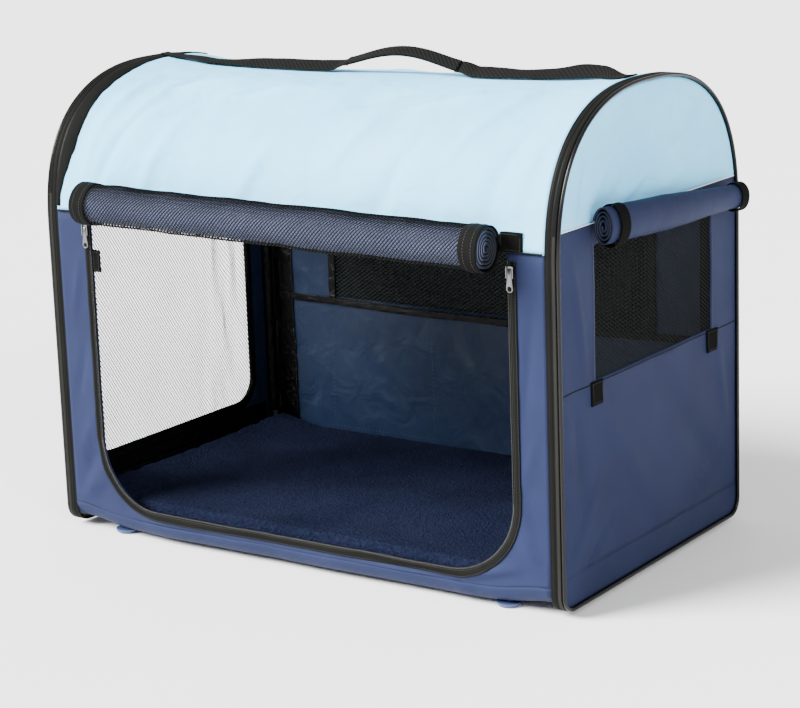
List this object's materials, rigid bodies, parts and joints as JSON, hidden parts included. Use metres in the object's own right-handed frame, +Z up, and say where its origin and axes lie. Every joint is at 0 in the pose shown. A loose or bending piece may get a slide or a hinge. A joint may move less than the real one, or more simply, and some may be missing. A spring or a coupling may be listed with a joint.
{
  "type": "soft pet carrier",
  "caption": "Soft-sided pet crate with an arched roof: open front doorway under its rolled door, net end door, net windows, fleece mat, domed feet and a carry handle.",
  "frame": {"origin": "middle of the bounding box, on the plane that the feet stand on", "axes": "+X along the length towards the windowed end, -Y out through the doorway, +Z up"},
  "size_m": [0.8379, 0.5347, 0.6546],
  "materials": {
    "sky_cloth": "woven polyester, matte",
    "navy_cloth": "woven polyester with a slight sheen",
    "fleece": "curly fleece",
    "net_black": "knitted net",
    "binding_black": "ribbed tape and vinyl piping",
    "webbing_black": "woven webbing",
    "rolled_net": "black net rolled over navy cloth",
    "frame_steel": "satin grey coated tube",
    "bracket_plastic": "moulded plastic",
    "base_board": "hardboard",
    "foot_plastic": "moulded plastic",
    "zip_metal": "bright plated metal"
  },
  "bodies": {
    "shell": {"base_board": "base_board", "bottom_panel": "navy_cloth", "floor_mat": "fleece", "front_base_rail": "frame_steel", "front_door_roll": "rolled_net", "front_roll_tab": "webbing_black", "front_wall": "navy_cloth", "front_zip_tape": "binding_black", "left_base_hoop": "frame_steel", "left_front_bracket": "bracket_plastic", "left_front_foot": "foot_plastic", "left_front_hinge_pin": "frame_steel", "left_piping": "binding_black", "left_rear_bracket": "bracket_plastic", "left_rear_foot": "foot_plastic", "left_rear_hinge_pin": "frame_steel", "left_skirt": "navy_cloth", "left_zip_band": "binding_black", "rear_base_rail": "frame_steel", "rear_pocket": "navy_cloth", "rear_wall": "navy_cloth", "rear_window_net": "net_black", "ridge_strap": "webbing_black", "right_base_hoop": "frame_steel", "right_front_bracket": "bracket_plastic", "right_front_foot": "foot_plastic", "right_front_hinge_pin": "frame_steel", "right_piping": "binding_black", "right_rear_bracket": "bracket_plastic", "right_rear_foot": "foot_plastic", "right_rear_hinge_pin": "frame_steel", "right_skirt": "navy_cloth", "right_zip_band": "binding_black", "roof": "sky_cloth"},
    "left_end": {"left_arch_tube": "frame_steel", "left_end_panel": "navy_cloth", "left_end_top": "sky_cloth"},
    "right_end": {"right_arch_tube": "frame_steel", "right_end_panel": "navy_cloth", "right_end_top": "sky_cloth", "right_roll_front_strap": "webbing_black", "right_roll_rear_strap": "webbing_black", "right_window_front_tab": "webbing_black", "right_window_net": "net_black", "right_window_rear_tab": "webbing_black", "right_window_roll": "navy_cloth"},
    "left_door": {"left_door_binding": "binding_black", "left_door_net": "net_black"},
    "rear_flap": {"rear_flap": "navy_cloth"},
    "carry_handle": {"carry_handle": "webbing_black"},
    "left_door_slider": {"left_door_slider": "zip_metal"},
    "left_door_pull": {"left_door_pull": "zip_metal"},
    "front_left_slider": {"front_left_slider": "zip_metal"},
    "front_left_pull": {"front_left_pull": "zip_metal"},
    "front_right_slider": {"front_right_slider": "zip_metal"},
    "front_right_pull": {"front_right_pull": "zip_metal"},
    "left_end_slider": {"left_end_slider": "zip_metal"},
    "left_end_pull": {"left_end_pull": "zip_metal"},
    "right_end_slider": {"right_end_slider": "zip_metal"},
    "right_end_pull": {"right_end_pull": "zip_metal"}
  },
  "joints": [
    {"name": "left_end_fold", "type": "hinge", "parent": "shell", "child": "left_end", "pos_m": [-0.406, 0.02148, 0.055], "axis": [0, 1, 0], "range_deg": [0, 82]},
    {"name": "right_end_fold", "type": "hinge", "parent": "shell", "child": "right_end", "pos_m": [0.3684, 0.02148, 0.055], "axis": [0, -1, 0], "range_deg": [0, 90]},
    {"name": "left_door_swing", "type": "hinge", "parent": "left_end", "child": "left_door", "pos_m": [-0.4143, 0.02148, 0.452], "axis": [0, 1, 0], "range_deg": [0, 85]},
    {"name": "rear_flap_swing", "type": "hinge", "parent": "shell", "child": "rear_flap", "pos_m": [-0.0188, 0.25778, 0.433], "axis": [1, 0, 0], "range_deg": [0, 90]},
    {"name": "carry_handle_swing", "type": "hinge", "parent": "shell", "child": "carry_handle", "pos_m": [0.0122, 0.02148, 0.63862], "axis": [1, 0, 0], "range_deg": [-65, 65], "stiffness_Nm_per_rad": 0.01},
    {"name": "front_left_zip", "type": "slide", "parent": "shell", "child": "front_left_slider", "axis": [0, 0, -1], "range_m": [0, 0.28]},
    {"name": "front_right_zip", "type": "slide", "parent": "shell", "child": "front_right_slider", "axis": [0, 0, -1], "range_m": [0, 0.28]},
    {"name": "left_end_zip", "type": "slide", "parent": "shell", "child": "left_end_slider", "axis": [0, 0, 1], "range_m": [0, 0.34]},
    {"name": "right_end_zip", "type": "slide", "parent": "shell", "child": "right_end_slider", "axis": [0, 0, 1], "range_m": [0, 0.34]},
    {"name": "left_door_zip", "type": "slide", "parent": "left_door", "child": "left_door_slider", "axis": [0, 1, 0], "range_m": [-0.045, 0.235]},
    {"name": "front_left_pull_swing", "type": "hinge", "parent": "front_left_slider", "child": "front_left_pull", "pos_m": [-0.3468, -0.21892, 0.4275], "axis": [-1, 0, 0], "range_deg": [0, 120]},
    {"name": "front_right_pull_swing", "type": "hinge", "parent": "front_right_slider", "child": "front_right_pull", "pos_m": [0.3172, -0.21892, 0.4275], "axis": [-1, 0, 0], "range_deg": [0, 120]},
    {"name": "left_end_pull_swing", "type": "hinge", "parent": "left_end_slider", "child": "left_end_pull", "pos_m": [-0.4063, 0.26038, 0.0725], "axis": [1, 0, 0], "range_deg": [0, 120]},
    {"name": "right_end_pull_swing", "type": "hinge", "parent": "right_end_slider", "child": "right_end_pull", "pos_m": [0.3687, 0.26038, 0.0725], "axis": [1, 0, 0], "range_deg": [0, 120]},
    {"name": "left_door_pull_swing", "type": "hinge", "parent": "left_door_slider", "child": "left_door_pull", "pos_m": [-0.4182, -0.07352, 0.0755], "axis": [0, 1, 0], "range_deg": [0, 120]}
  ]
}
